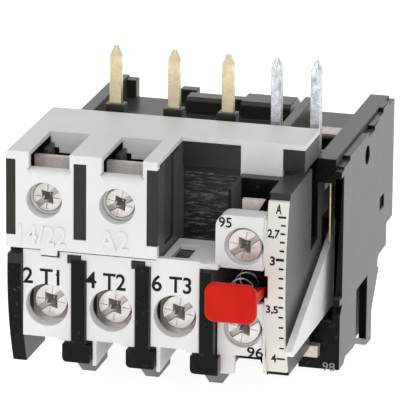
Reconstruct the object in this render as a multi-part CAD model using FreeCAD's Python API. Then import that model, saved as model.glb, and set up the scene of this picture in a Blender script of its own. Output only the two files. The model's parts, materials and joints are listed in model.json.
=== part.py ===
import FreeCAD, Part
import os
from math import cos, pi, radians, sin, sqrt
from FreeCAD import Vector as V

# Thermal overload relay that plugs under a small three-pole contactor.
# While it is drawn, x runs right from the left face, y runs back from the face of
# the control terminals and z is 0 on the top plate, with everything else below it.
# place() moves the finished pieces to the bottom centre of the whole relay.

# ---- along x, from the left face ----
poleX0 = 5.95
polePitch = 9.6
poleCount = 3
ribThickness = 2.1
auxPlateOverlap = 0.3
auxPlateWidth = 7.1
plateGap = 0.1
panelThickness = 3.0
leverSpace = 2.9
sideCoverThickness = 1.2
barrierRight = poleX0 + polePitch * (poleCount - 0.5) + ribThickness / 2
auxPlateLeft = barrierRight - auxPlateOverlap
auxPlateRight = auxPlateLeft + auxPlateWidth
panelInner = auxPlateRight + plateGap
panelFace = panelInner + panelThickness
sideInner = panelFace + leverSpace
width = sideInner + sideCoverThickness

# ---- along y and z ----
depth = 57.8
bodyBottom = -36.3
footBottom = -38.6

# ---- light front cover ----
deckWidth = panelFace + 0.1
deckRear = 23.2
deckFront = 14.1
deckThickness = 0.8
blockWidth = 22.7
blockHeight = 14.6
coverWall = 1.2
controlX = (5.8, blockWidth - 6.0)
controlZ = -7.15
controlHole = 5.3
holeBossDepth = 0.8
holeBossMargin = 0.6
notchOffset = 0.75
notchWidth = 6.1
notchDepth = 11.2
notchLip = 2.5
flapLeft, flapRight = auxPlateLeft + 0.7, panelInner - 0.2
backWallDrop = 3.3
backWallStep = (1.3, 0.8)
backWallArc = 1.5
flapDrop = 7.4
tabX = (5.2, 7.7)
tabDrop = 0.9

# ---- black housing ----
coreFront = notchDepth + 0.8
upperRibs = ((0.0, 1.5), (10.2, 12.1), (blockWidth - 1.6, blockWidth))
upperRibTop = -1.3
shelfTop = -13.7
upperRibFoot = -12.7
barDrop = 4.6
ribFront = 0.5
ribToe = -33.0
ribToeSetback = 2.9
keelFront = 6.6
keelBottom = -34.8
slopeRear = 30.0
slopeFront = -31.5
footLeft, footRight = 1.35, 0.75
footDepth = 1.8
footTop, footToe = -28.85, -31.6
footCorner = 0.7
ribSeatZ = -29.5
capX = (-0.65, 1.35)
capZ = (-16.6, -15.4)
ribNoseTop = -16.05
guideStep = (0.7, 7.4, -1.7)
recessPanel = (0.4, 4.2, 9.0)
sideInset = 0.6
trayWall = 2.0
trayTop = -4.2
trayFloor = -7.6
railDepth = 3.7
hookTop = -4.9
hookDepth = 7.6
partitionX = (barrierRight + 0.6, barrierRight + 2.2)
partitionRear = 53.5
pocket = (partitionX[1] + 1.0, panelFace + 0.1, 27.5, 44.0)
hooks = ((13.6, 19.8), (22.2, barrierRight - 1.0))
hookTopDepth = (3.1, 5.0)
hookRearDrop = 1.6
sideTopSteps = (26.0, 38.3, 42.4, 49.8, 53.8)
sideHole = (37.7, -7.8, 1.4)
sideThinFrom = 46.4
sideThinDrop = 5.0
sideMark = ((48.4, 51.4), (-19.8, -17.9))
trayStripX = (35.4, 40.4)
trayStripY = (44.6, 48.2)
trayStripThickness = 0.5
panelTop = -4.9
panelBottom = -32.6
panelRear = 19.2
rightBlockLeft = barrierRight + 0.6

# ---- light terminal cover ----
plateFront = 1.0
plateThickness = 1.2
plateBottom = -28.2
plateClearance = 0.12
loadZ = -23.3
loadHole = 6.35
ledgeTop = -14.9
ledgeThickness = 0.8
auxPlateFront = 2.4
hoodWall = 0.8
auxTop = -7.7
auxBottom = -28.8
auxX = auxPlateRight - 2.9
auxZ = (-12.3, -24.65)
auxHole = 5.7
auxHoodDepth = 3.5
skirtThickness = 0.6
skirtOffset = 0.95
skirtRear = 11.0
skirtBottom, skirtRearBottom = -32.1, -31.65
legX = (0.45, 2.65)
legBottom = -31.75
legWall = 1.0
tieZ = (-31.0, -29.5)
tieDepth = 1.2
plateStep = 0.35
plateStepWidth = 2.0
bayTop, bayBottom = -15.7, -20.7
bayWall = 0.8
seamZ = -14.65
bridgeBottom = capZ[1] + 0.05
ledgeSlot = (blockWidth + 1.3, blockWidth + 3.9)
ledgeSlotRear = 9.0

# ---- current setting ----
pivotY, pivotZ = 43.0, -18.0
scaleRadius = 40.1
scaleThickness = 0.7
scaleTop, scaleBottom = -5.8, -31.8
leverLeft = panelFace + 0.5
leverThickness = 1.1
leverTipY = 1.3
leverTipZ = -27.2
leverTipHeight = 1.1
leverHeelY = 30.5
leverEdgeAngle = 20.7
leverHubRadius = 4.2
leverPinRadius = 1.5
runningClearance = 0.06

# ---- side cover ----
sideFront = 22.2
sideLowerFront = 21.0
sideStepZ = -27.3
lipDrop = 28.9
legFront, legRear = 39.2, 42.7
slotFront = 32.0
sideRearDrop = -23.4
bossSize = 1.1

# ---- reset button ----
buttonX, buttonZ = auxX, -18.25
buttonWidth, buttonHeight = 7.6, 6.3
buttonProud = 5.4
buttonCap = 1.1
buttonCorner = 1.5
buttonRim = 0.3
guideThickness = 1.1
guideInset = 0.9
guideHeight = 3.0
guideReach = 5.8
springRadius = 1.7
springWire = 0.4
springTurns = 4
springSeat = 8.4

# ---- contactor pins ----
linePinX = (9.6, 18.5, 26.7)
linePinWidth, linePinThickness = 1.8, 1.0
pinY = 24.9
pinTop = 9.8
pinTaper = 1.6
pinRoot = -9.5
controlPinX = (auxX - 0.85, panelFace - 0.9)
controlPinSide = 1.5
collarHeight = 0.9
collarMargin = 0.55

# ---- terminals ----
headHeight = 1.9
loadHead, controlHead, auxHead = 5.0, 4.4, 5.0
loadShank, controlShank = 3.5, 3.0
headSink = 0.9
slotTurn = 38.0
clampThickness = 1.0
clampGap = 1.3
barThickness = 1.0
shankBeyondBar = 1.6
loadBarHalf, controlBarHalf, auxBarHalf = 3.45, 3.2, 2.8
auxBarHeight = 5.0
auxClampHeight = 4.2
threadClearance = 0.05
recessDepth = 0.9
recessBlade = 0.8
controlBarRise = 4.85
auxTongue = (-1.5, 2.3, 5.6)

# ---- thermal trip ----
chamberFront, chamberRear = 26.0, 42.0
chamberTop, chamberBottom = -14.0, -33.8
tailHalf = 1.5
bimetalY = 34.0
bimetalWidth = 5.0
bimetalThickness = 0.9
bimetalTip = -31.0
heaterTop, heaterBottom = -17.0, -26.5
heaterWall = 0.5
heaterTurns = 5
sliderZ = -29.4
sliderHeight = 1.6
sliderSpine = 1.3
sliderGap = 0.35
sliderTravel = 1.5
sliderFinger = 1.8
fingerRear = bimetalY + 1.0
tripX, tripZ = panelInner - 2.3, -17.4
tripArm = 13.4
tripDepth = 4.0
tripThickness = 1.4
stripTop = 3.2
stripThickness = 0.8
tripPinRadius = 0.8
contactPinRadius = 0.6
rivetReach = 0.9
contactX, contactZ = panelFace - 2.3, -16.6
contactLength = 9.0
contactThickness = 0.5

chamberRight = panelFace
ribTop = ledgeTop - ledgeThickness
hoodRear = auxPlateFront + auxHoodDepth
flapRear = deckFront + 1.0
rightSlotTop = trayTop - railDepth
originX = width / 2
originY = (depth - buttonProud) / 2


def box(x, y, z):
    """Block between pairs of limits."""
    low = V(min(x), min(y), min(z))
    return Part.makeBox(abs(x[1] - x[0]), abs(y[1] - y[0]), abs(z[1] - z[0]), low)


def prism(points, axis, span):
    """Polygon in the plane across an axis, carried along that axis over span."""
    lift = {"x": lambda p: V(span[0], p[0], p[1]),
            "y": lambda p: V(p[0], span[0], p[1]),
            "z": lambda p: V(p[0], p[1], span[0])}[axis]
    corners = [lift(p) for p in points]
    face = Part.Face(Part.makePolygon(corners + corners[:1]))
    along = {"x": V(1, 0, 0), "y": V(0, 1, 0), "z": V(0, 0, 1)}[axis]
    return face.extrude(along * (span[1] - span[0]))


def rodY(x, z, radius, y):
    return Part.makeCylinder(radius, y[1] - y[0], V(x, y[0], z), V(0, 1, 0))


def rodX(y, z, radius, x):
    return Part.makeCylinder(radius, x[1] - x[0], V(x[0], y, z), V(1, 0, 0))


def join(first, *others):
    return first.fuse(list(others)).removeSplitter()


def poleX(index):
    return poleX0 + polePitch * index


def ribX(index):
    """Limits of the lower rib left of pole number index."""
    middle = poleX0 + polePitch * (index - 0.5)
    return (max(middle - ribThickness / 2, 0.0), middle + ribThickness / 2)


def arcY(z, radius):
    """Depth of the face that is curved about the lever's pivot."""
    return pivotY - sqrt(radius ** 2 - (z - pivotZ) ** 2)


def curvedBlock(radius, rear, z, x):
    """Upright wall whose front edge is an arc about the lever's pivot."""
    middle = (z[0] + z[1]) / 2
    top = V(x[0], arcY(z[1], radius), z[1])
    low = V(x[0], arcY(z[0], radius), z[0])
    front = Part.Arc(low, V(x[0], arcY(middle, radius), middle), top).toShape()
    rest = Part.makePolygon([top, V(x[0], rear, z[1]), V(x[0], rear, z[0]), low])
    return Part.Face(Part.Wire([front] + rest.Edges)).extrude(V(x[1] - x[0], 0, 0))


# ---- what each terminal is made of ----

def terminalDepths(front):
    """Places along y of the head, the clamp and the bar behind a cover's back."""
    head = front + headSink
    clamp = head + headHeight
    bar = clamp + clampThickness + clampGap
    return head, clamp, bar


def screw(x, z, front, headDiameter, shank):
    """Pan-head terminal screw with a slot for a flat blade."""
    head, clamp, bar = terminalDepths(front)
    body = rodY(x, z, headDiameter / 2, (head, clamp))
    body = join(body, rodY(x, z, shank / 2, (clamp, bar + barThickness + shankBeyondBar)))
    blade = recessBlade / 2
    reach = headDiameter * 0.5
    slot = box((x - reach, x + reach), (head - 1, head + recessDepth), (z - blade, z + blade))
    slot.rotate(V(x, 0, z), V(0, -1, 0), slotTurn)
    return body.cut(slot)


def clamp(x, z, front, half, shank, height):
    """Saddle washer under a screw head, with teeth across its upper or lower lip."""
    head, start, bar = terminalDepths(front)
    plate = box((x - half, x + half), (start, start + clampThickness), (z - height / 2, z + height / 2))
    lips = [box((x - half, x + half), (start, start + clampThickness * 1.7), (z + s * height / 2, z + s * (height / 2 - 0.7)))
            for s in (-1, 1)]
    teeth = []
    count = 3
    step = 2 * half / count
    for s in (-1, 1):
        for i in range(count):
            left = x - half + step * i
            edge = z + s * height / 2
            teeth.append(prism([(left, edge), (left + step, edge), (left + step / 2, edge + s * 0.45)], "y",
                               (start, start + clampThickness * 1.7)))
    hole = rodY(x, z, shank / 2 + threadClearance, (start - 1, start + 3))
    return join(plate, *lips, *teeth).cut(hole)


def bar(x, z, front, half, shank, top, bottom):
    """Flat contact bar with the tapped hole of its screw."""
    start = terminalDepths(front)[2]
    plate = box((x - half, x + half), (start, start + barThickness), (bottom, top))
    return plate.cut(rodY(x, z, shank / 2 + threadClearance, (start - 1, start + 3)))


loadSeat = plateFront + 1.4
controlSeat = 0.9
auxSeat = auxPlateFront - 0.2


def loadBar(index):
    x = poleX(index)
    start = terminalDepths(loadSeat)[2]
    upright = bar(x, loadZ, loadSeat, loadBarHalf, loadShank, ribTop - 0.6, plateBottom)
    tail = box((x - tailHalf, x + tailHalf), (start, chamberFront + 2.4), (ribTop - 1.6, ribTop - 0.6))
    hanger = box((x - tailHalf, x + tailHalf), (chamberFront + 1.4, chamberFront + 2.4), (ribTop - 1.6, chamberTop))
    arm = box((x - tailHalf, x + tailHalf), (chamberFront + 1.4, bimetalY - bimetalWidth / 2), (chamberTop - 1.0, chamberTop))
    return join(upright, tail, hanger, arm)


def controlBar(index):
    x = controlX[index]
    start = terminalDepths(controlSeat)[2]
    top = controlZ + controlBarRise
    return bar(x, controlZ, controlSeat, controlBarHalf, controlShank, top, shelfTop)


def auxBar(index):
    z = auxZ[index]
    half = auxBarHeight / 2
    plate = bar(auxX, z, auxSeat, auxBarHalf, controlShank, z + half, z - half)
    if index:
        return plate
    start = terminalDepths(auxSeat)[2]
    tongue = box((auxX + auxTongue[0], auxX + auxTongue[1]), (start, start + barThickness), (z + half - 1, z + auxTongue[2]))
    return join(plate, tongue)


# ---- moulded pieces ----

def bodyOutline():
    """Side view of the housing behind the top plate."""
    return [(deckRear, trayTop), (depth, trayTop), (depth, sideRearDrop), (depth - 4.0, sideRearDrop),
            (depth - 4.0, sideRearDrop - 3.5), (depth - 9.2, sideRearDrop - 3.5),
            (legRear, sideRearDrop - 10.3), (legRear, bodyBottom), (slopeRear, bodyBottom),
            (deckRear, slopeAt(deckRear))]


def slopeAt(y):
    """Height of the sloping underside below the terminals."""
    share = (y - coreFront) / (slopeRear - coreFront)
    return slopeFront + share * (bodyBottom - slopeFront)


def ribSolid(x):
    """Barrier between two terminals: straight nose, seat of its foot, keel further back."""
    footRear = ribFront + footDepth
    side = [(ribFront, ribTop), (ribFront, footToe), (footRear, footToe), (keelFront, keelBottom),
            (coreFront + 1, keelBottom), (coreFront + 1, ribTop)]
    return prism(side, "x", x)


def leftRib(x):
    """Outermost barrier, whose front edge sweeps back to the toe."""
    keel = ribToe
    toeY = ribFront + ribToeSetback
    top = V(x[0], ribFront, ribTop)
    toe = V(x[0], toeY, ribToe)
    middle = V(x[0], ribFront + 0.35, (ribTop + ribToe) / 2)
    front = Part.Arc(toe, middle, top).toShape()
    under = [(coreFront + 1, ribTop), (coreFront + 1, keel), (keelFront + 0.6, keel), (keelFront, ribToe)]
    rest = Part.makePolygon([top] + [V(x[0], y, z) for y, z in under] + [toe])
    return Part.Face(Part.Wire([front] + rest.Edges)).extrude(V(x[1] - x[0], 0, 0))


def latchHook(x, topDepth):
    """Block at the rear of the tray that catches the contactor, ramped before and behind."""
    front = depth - hookDepth
    crest = front + topDepth
    side = [(depth, hookTop - hookRearDrop), (crest, hookTop), (front + 0.5, hookTop), (front, hookTop - 0.5),
            (front, trayFloor - 0.5), (depth, trayFloor - 0.5)]
    return prism(side, "x", x)


def foot(index):
    """Cross bar under the nose of a barrier, with its lower left corner rounded."""
    left, right = ribX(index)
    body = box((left - footLeft, right + footRight), (ribFront, ribFront + footDepth), (footToe, footTop))
    corner = [e for e in body.Edges if e.BoundBox.XMax < left - footLeft + 0.01 and e.BoundBox.ZMax < footToe + 0.01]
    seat = box((left, right), (ribFront - 1, ribFront + 0.15), (ribSeatZ, footTop + 1))
    return body.makeFillet(footCorner, corner).cut(seat)


def housing():
    low = prism([(coreFront, ribTop), (deckRear, ribTop), (deckRear, slopeAt(deckRear)), (coreFront, slopeFront)],
                "x", (0, panelInner + 0.8))
    behindBlock = box((0, blockWidth), (coreFront, deckRear), (ribTop, -deckThickness))
    behindFlap = box((blockWidth, panelInner + 0.8), (flapRear, deckRear), (ribTop, -deckThickness))
    rear = prism(bodyOutline(), "x", (sideInset, panelFace))
    block = box((rightBlockLeft, panelInner), (hoodRear, flapRear), (panelBottom, panelTop))
    panel = curvedBlock(scaleRadius - scaleThickness, panelRear, (panelBottom, panelTop), (panelInner, panelFace))
    arm = prism([(panelRear - 1, -17.6), (panelRear, -17.6), (deckRear + 6.5, -15.2), (deckRear + 6.5, -18.2),
                 (panelRear - 1, -26.0)], "x", (panelFace - 0.9, panelFace))
    shelf = box((0, blockWidth), (plateFront + plateThickness + 0.1, coreFront), (ribTop, shelfTop))
    ribs = [leftRib(ribX(0))] + [ribSolid(ribX(i)) for i in range(1, poleCount + 1)]
    underLedge = box((blockWidth, barrierRight), (plateFront + plateThickness + 0.1, coreFront),
                     (ribTop - 0.5, ribTop - 0.05))
    uppers = [box(x, (coverWall, coreFront), (-blockHeight, upperRibTop)) for x in upperRibs]
    shown = [box(x, (0.15, coverWall), (upperRibFoot, upperRibTop)) for x in upperRibs]
    body = join(low, behindBlock, behindFlap, rear, block, panel, arm, shelf, underLedge, *ribs, *uppers, *shown)
    return join(body.cut(housingCuts()), *housingExtras())


def housingCuts():
    cuts = []
    # open tray behind the pins, divided by a wall, with a pocket at the right
    trayFront = deckRear + 3.6
    cuts.append(box((sideInset + trayWall, partitionX[0]), (trayFront, depth + 1), (trayFloor, 1)))
    cuts.append(box((partitionX[1], panelFace + 1), (trayFront, depth + 1), (trayFloor, 1)))
    cuts.append(box(partitionX, (partitionRear, depth + 1), (trayFloor, 1)))
    # nose of each barrier below the seam, tie of the terminal cover, recessed side of the block
    for i in range(1, poleCount + 1):
        cuts.append(box(ribX(i), (ribFront - 1, plateFront), (ribNoseTop, ribTop + 1)))
    cuts.append(tie(plateClearance / 2))
    cuts.append(box((blockWidth - recessPanel[0], blockWidth + 1), recessPanel[1:], (shelfTop, upperRibTop)))
    cuts.append(box(pocket[:2], pocket[2:], (trayFloor - 3.2, 1)))
    # chambers of the three bimetals and of the tripping gear
    left = sideInset + trayWall
    for i in range(poleCount + 1):
        right = ribX(i + 1)[0] if i < poleCount else chamberRight + 1
        start = left if i == 0 else ribX(i)[1]
        cuts.append(box((start, right), (chamberFront, chamberRear), (chamberBottom, chamberTop)))
    y = sliderY()
    cuts.append(box((left, chamberRight + 1), (y[0] - sliderGap, fingerRear + sliderGap),
                    (sliderZ - sliderHeight / 2 - sliderGap, sliderZ + sliderHeight / 2 + sliderGap)))
    # right-hand control terminals, open above and below, and the button's bay
    inner = (auxX - auxBarHalf, auxX + auxBarHalf)
    cuts.append(box(inner, (0, coreFront), (bayTop + bayWall, 0)))
    cuts.append(box(inner, (0, coreFront), (bodyBottom - 1, bayBottom - bayWall)))
    cuts.append(box((rightBlockLeft - 1, panelInner + 0.4), (0, springSeat), (bayBottom, bayTop)))
    # ways for the load bars
    for i in range(poleCount):
        x = poleX(i)
        cuts.append(box((x - tailHalf, x + tailHalf), (coreFront - 1, chamberFront + 1), (ribTop - 1.6, ribTop - 0.6)))
    # seat of the front cover's flap
    cuts.append(box((flapLeft - 0.1, flapRight + 0.1), (deckFront - 0.1, flapRear), (-flapDrop - 0.1, 0)))
    # seats of the pins
    for x in linePinX:
        cuts.append(linePinStock(x))
    for x in controlPinX:
        cuts.append(controlPinStock(x))
    return cuts


def housingExtras():
    extras = [latchHook(x, top) for x, top in zip(hooks, hookTopDepth)]
    extras.append(box((11.2, 13.9), (depth - 2.0, depth), (trayFloor - 1, hookTop - 0.4)))
    between = depth - hookDepth + 1.8
    extras.append(box((hooks[0][1], hooks[1][0]), (between, between + 2), (trayFloor - 1, hookTop - 0.2)))
    extras.append(box((panelFace - 0.1, sideInner), (sideFront, depth), (rightSlotTop, trayTop)))
    extras.append(box((1.7, 4.2), (depth - trayWall, depth), (trayFloor - 1, trayTop - 0.3)))
    # rear wall and sill reach the side cover round the lever's space
    extras.append(box((panelFace - 1, sideInner), (depth - trayWall, depth), (sideRearDrop, trayFloor)))
    extras.append(box((panelFace - 1, sideInner), (deckRear + 1, slotFront - 0.5), (bodyBottom + 0.8, chamberBottom)))
    for i in range(1, poleCount + 1):
        if i < poleCount:
            extras.append(ribCap(i, 0.0))
        extras.append(foot(i))
    for left in [x + notchOffset - notchWidth / 2 for x in controlX]:
        extras.append(box((left, left + guideStep[0]), (guideStep[1], notchDepth), (shelfTop, guideStep[2])))
    extras.extend(collar(x) for x in linePinX)
    extras.append(box((blockWidth, flapLeft), (deckFront, flapRear), (-barDrop, -deckThickness)))
    extras.append(box((flapRight + 0.1, deckWidth), (deckFront, deckRear), (-barDrop + 0.5, -deckThickness)))
    return extras


def ribCap(index, gap):
    """Square block on top of a rib, let into the terminal cover."""
    left = ribX(index)[0]
    return box((left + capX[0] - gap, left + capX[1] + gap), (plateFront - 0.05 - gap, plateFront + plateThickness + 0.2),
               (capZ[0] - gap, capZ[1] + gap))


def tie(gap):
    """Bar that joins the cover's plates through the last barrier, behind its foot."""
    left = barrierRight - ribThickness
    start = ribFront + footDepth + 0.1
    return box((left - plateClearance - gap, barrierRight + legX[0] + gap), (start - gap, start + tieDepth + gap),
               (tieZ[0] - gap, tieZ[1] + gap))


def collar(x):
    """Raised sleeve round the foot of a pin."""
    half = linePinWidth / 2 + collarMargin
    deep = linePinThickness / 2 + collarMargin
    ring = box((x - half, x + half), (pinY - deep, pinY + deep), (trayTop - 1, collarHeight))
    return ring.cut(linePinStock(x))


def linePinStock(x):
    half = linePinWidth / 2
    deep = linePinThickness / 2
    return box((x - half, x + half), (pinY - deep, pinY + deep), (pinRoot, pinTop))


def controlPinStock(x):
    half = controlPinSide / 2
    return box((x - half, x + half), (pinY - half, pinY + half), (pinRoot, pinTop))


def pointed(stock):
    """Takes the four edges of a pin's tip down to a blunt point."""
    b = stock.BoundBox
    cuts = []
    for x, s in ((b.XMin, 1), (b.XMax, -1)):
        reach = (b.XMax - b.XMin) * 0.36
        cuts.append(prism([(x, b.ZMax - pinTaper), (x + s * reach, b.ZMax), (x, b.ZMax)], "y", (b.YMin, b.YMax)))
    for y, s in ((b.YMin, 1), (b.YMax, -1)):
        reach = (b.YMax - b.YMin) * 0.3
        cuts.append(prism([(y, b.ZMax - pinTaper), (y + s * reach, b.ZMax), (y, b.ZMax)], "x", (b.XMin, b.XMax)))
    return stock.cut(cuts)


def frontCover():
    deck = box((0, deckWidth), (deckFront, deckRear), (-deckThickness, 0))
    roof = box((0, blockWidth), (0, deckFront), (-deckThickness, 0))
    face = box((0, blockWidth), (0, coverWall), (-blockHeight, 0))
    flap = box((flapLeft, flapRight), (deckFront, deckFront + 1.0), (-flapDrop, 0))
    tab = box(tabX, (0.2, coverWall), (-blockHeight - tabDrop, -blockHeight))
    body = join(deck, roof, face, flap, tab)
    rounded = [e for e in body.Edges if e.BoundBox.XMax < 0.01 and e.BoundBox.ZMin > -0.01]
    body = body.makeFillet(0.6, rounded)
    for k, x in enumerate(controlX):
        left = x + notchOffset - notchWidth / 2
        right = left + notchWidth
        body = body.cut(box((left, right), (-1, notchDepth), (-notchLip, 1)))
        body = body.cut(prism([(left - 0.3, -notchLip), (right + 0.3, -notchLip), (right - 0.6, -notchLip - 1.2),
                               (left + 0.6, -notchLip - 1.2)], "y", (-1, coverWall + 1)))
        back = box((left, right), (notchDepth, notchDepth + 0.7), (-backWallDrop, 0))
        step = box((left, left + backWallStep[0]), (notchDepth - 1, notchDepth + 2),
                   (-backWallDrop, backWallStep[1] - backWallDrop))
        back = back.cut([step, rodY(right, -backWallDrop, backWallArc, (notchDepth - 1, notchDepth + 2))])
        around = controlHole / 2 + holeBossMargin
        boss = box((x - around, x + around), (coverWall, coverWall + holeBossDepth), (controlZ - around, -notchLip - 0.2))
        body = join(body, back, boss)
        body = body.cut(rodY(x, controlZ, controlHole / 2, (-1, coverWall + 1)))
    for x in upperRibs:
        body = body.cut(box(x, (-1, coverWall), (-12.7, upperRibTop)))
    return body


def terminalCover():
    parts = []
    back = plateFront + plateThickness
    for i in range(poleCount):
        left = ribX(i)[1] + plateClearance
        right = ribX(i + 1)[0] - plateClearance
        parts.append(box((left, right), (plateFront, back), (plateBottom, seamZ)))
        parts.append(box((right - plateStepWidth, right), (plateFront, back), (plateBottom - plateStep, plateBottom + 1)))
        around = loadHole / 2 + holeBossMargin
        parts.append(box((left, right), (back, back + holeBossDepth), (loadZ - around, loadZ + around)))
        if i:
            skirt = ribX(i)[1] + skirtOffset
            side = [(plateFront + 0.3, plateBottom + 0.5), (plateFront + 0.3, skirtBottom),
                    (skirtRear, skirtRearBottom), (skirtRear, plateBottom - 0.5), (back, plateBottom + 0.5)]
            parts.append(prism(side, "x", (skirt, skirt + skirtThickness)))
    parts.append(box((ribX(0)[1] + plateClearance, blockWidth + 0.3), (plateFront, back), (bridgeBottom, seamZ)))
    # ledge beside the control terminals, with its wire slot
    ledge = box((blockWidth + 0.15, rightBlockLeft - 0.1), (plateFront, coreFront), (ledgeTop - ledgeThickness, ledgeTop))
    corner = [e for e in ledge.Edges if e.BoundBox.ZLength > ledgeThickness * 0.9 and e.BoundBox.XMin > auxPlateLeft
              and e.BoundBox.YMin > coreFront - 0.1]
    ledge = ledge.makeFillet(1.5, corner)
    parts.append(ledge.cut(box(ledgeSlot, (-1, ledgeSlotRear), (-20, 0))))
    # hood and plate of the upper control terminal, plate of the lower one
    hood = box((auxPlateLeft, auxPlateRight), (auxPlateFront, hoodRear - 0.1), (bayTop, auxTop))
    top = [e for e in hood.Edges if e.BoundBox.YLength > 1 and e.BoundBox.XMax < auxPlateLeft + 0.1
           and e.BoundBox.ZMin > auxTop - 0.1]
    hood = hood.makeFillet(1.8, top)
    hood = hood.cut(box((auxPlateLeft + hoodWall, auxPlateRight + 1), (auxPlateFront + plateThickness, 20),
                        (bayTop - 1, auxTop - hoodWall)))
    lowerLeft = barrierRight + plateClearance
    plate = box((lowerLeft, auxPlateRight), (auxPlateFront, auxPlateFront + plateThickness), (auxBottom, bayBottom))
    legLeft, legRight = lowerLeft, barrierRight + legX[1]
    leg = prism([(legLeft, auxBottom + 1), (legLeft, legBottom + 0.5), (legLeft + 0.5, legBottom), (legRight, legBottom),
                 (legRight, auxBottom + 1)], "y", (auxPlateFront, auxPlateFront + plateThickness))
    legSide = box((legLeft, legLeft + legWall), (auxPlateFront, hoodRear - 0.1), (legBottom + 0.5, auxBottom + 0.1))
    behind = ribFront + footDepth + 0.1
    tieRise = prism([(back - 0.2, footTop + 0.1), (back - 0.2, plateBottom + 0.5), (behind + tieDepth, plateBottom + 0.5),
                     (behind + tieDepth, tieZ[0]), (behind, tieZ[0]), (behind, footTop + 0.1)],
                    "x", (right - skirtThickness, right))
    body = join(*parts, hood, plate, leg, legSide, tieRise, tie(0.0))
    body = body.cut([ribCap(i, 0.05) for i in range(1, poleCount)])
    body = body.cut(box((tabX[0] - 0.1, tabX[1] + 0.1), (0, coverWall + 0.1), (-blockHeight - tabDrop - 0.1, 0)))
    for i in range(poleCount):
        body = body.cut(rodY(poleX(i), loadZ, loadHole / 2, (-1, back + holeBossDepth + 0.5)))
    for z in auxZ:
        body = body.cut(rodY(auxX, z, auxHole / 2, (-1, auxPlateFront + plateThickness + 0.01)))
    return body


def sideCover():
    top = trayTop - 0.4
    low = top - 0.6
    riseFront, dipFront, dipRear, tabFront, tabRear = sideTopSteps
    outline = [(sideFront, low), (riseFront, low), (riseFront, top), (dipFront, top), (dipFront, low), (dipRear, low),
               (dipRear, top), (tabFront, top), (tabFront, trayTop + 0.3), (tabRear, trayTop + 0.3), (tabRear, top),
               (depth, top),
               (depth, sideRearDrop), (depth - 4.0, sideRearDrop), (depth - 4.0, sideRearDrop - 3.5),
               (depth - 9.2, sideRearDrop - 3.5), (legRear, sideRearDrop - 10.3), (legRear, footBottom),
               (legFront, footBottom + 0.3), (slotFront, bodyBottom + 0.6), (slotFront - 1.8, bodyBottom + 0.4),
               (25.2, bodyBottom + 0.8), (24.2, bodyBottom), (sideLowerFront, bodyBottom),
               (sideLowerFront, sideStepZ - 0.6), (sideFront, sideStepZ + 0.6)]
    plate = prism(outline, "x", (sideInner, width))
    slot = prism([(slotFront, sideStepZ), (legFront, sideStepZ), (legFront, footBottom + 1.3),
                  (slotFront, bodyBottom + 1.6)], "x", (0, width + 1))
    plate = plate.cut(slot)
    plate = plate.cut(rodX(*sideHole, (width - 0.9, width + 1)))
    plate = plate.cut(box((width - 0.35, width + 1), (sideThinFrom, depth + 1), (sideRearDrop - sideThinDrop, 0)))
    plate = plate.cut(box((width - 0.8, width + 1), *sideMark))
    wall = box((panelInner + 0.9, sideInner), (sideLowerFront, sideLowerFront + 1.2), (bodyBottom, -lipDrop))
    bosses = [box((width - bossSize, width), (sideLowerFront - 0.3, sideFront + 0.5), (z - bossSize / 2, z + bossSize / 2))
              for z in (low - 0.9, sideStepZ + 1.5)]
    return join(plate, wall, *bosses)


def scaleStrip():
    body = curvedBlock(scaleRadius, pivotY, (scaleBottom, scaleTop), (auxPlateRight + 0.1, panelFace))
    inner = curvedBlock(scaleRadius - scaleThickness, pivotY + 1, (scaleBottom - 3, scaleTop + 3), (auxPlateRight, panelFace + 1))
    body = body.cut(inner)
    return body.cut(box((auxPlateRight, panelInner + 0.5), (-2, 9), (buttonZ - guideHeight / 2 - 0.2, buttonZ + guideHeight / 2 + 0.2)))


# ---- moving pieces ----

def adjustingLever():
    rise = radians(leverEdgeAngle)
    heelTop = leverTipZ + (leverHeelY - leverTipY) * sin(rise) / cos(rise)
    heelLow = leverTipZ - leverTipHeight
    side = [(leverTipY, leverTipZ), (leverHeelY, heelTop), (pivotY, pivotZ + leverHubRadius * 0.9),
            (pivotY, pivotZ - leverHubRadius * 0.9), (leverHeelY + 2, heelLow), (leverTipY + 1.2, heelLow)]
    blade = prism(side, "x", (leverLeft, leverLeft + leverThickness))
    hub = rodX(pivotY, pivotZ, leverHubRadius, (leverLeft, leverLeft + leverThickness))
    bore = rodX(pivotY, pivotZ, leverPinRadius + runningClearance, (leverLeft - 1, leverLeft + 3))
    return join(blade, hub).cut(bore)


def leverPin():
    """Pin moulded into the side cover's inner face, with a collar that spaces the lever."""
    pin = rodX(pivotY, pivotZ, leverPinRadius, (panelFace, sideInner))
    gap = 0.15
    spacer = rodX(pivotY, pivotZ, leverPinRadius + 1.2, (leverLeft + leverThickness + gap, sideInner))
    return join(pin, spacer)


def resetButton():
    face = -buttonProud
    cap = box((buttonX - buttonWidth / 2, buttonX + buttonWidth / 2), (face, face + buttonCap),
              (buttonZ - buttonHeight / 2, buttonZ + buttonHeight / 2))
    upright = [e for e in cap.Edges if e.BoundBox.YLength > buttonCap - 0.01]
    cap = cap.makeFillet(buttonCorner, upright)
    rim = [e for e in cap.Edges if e.BoundBox.YMax < face + 0.01]
    cap = cap.makeChamfer(buttonRim, rim)
    guides = []
    for s in (-1, 1):
        outer = buttonX + s * (buttonWidth / 2 - guideInset)
        guides.append(box((outer, outer - s * guideThickness), (face + buttonCap - 0.3, guideReach - 1.0),
                          (buttonZ - guideHeight / 2, buttonZ + guideHeight / 2)))
    stem = rodY(buttonX, buttonZ, springRadius - springWire - 0.25, (face + buttonCap - 0.3, 2.6))
    return join(cap, stem, *guides)


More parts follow.
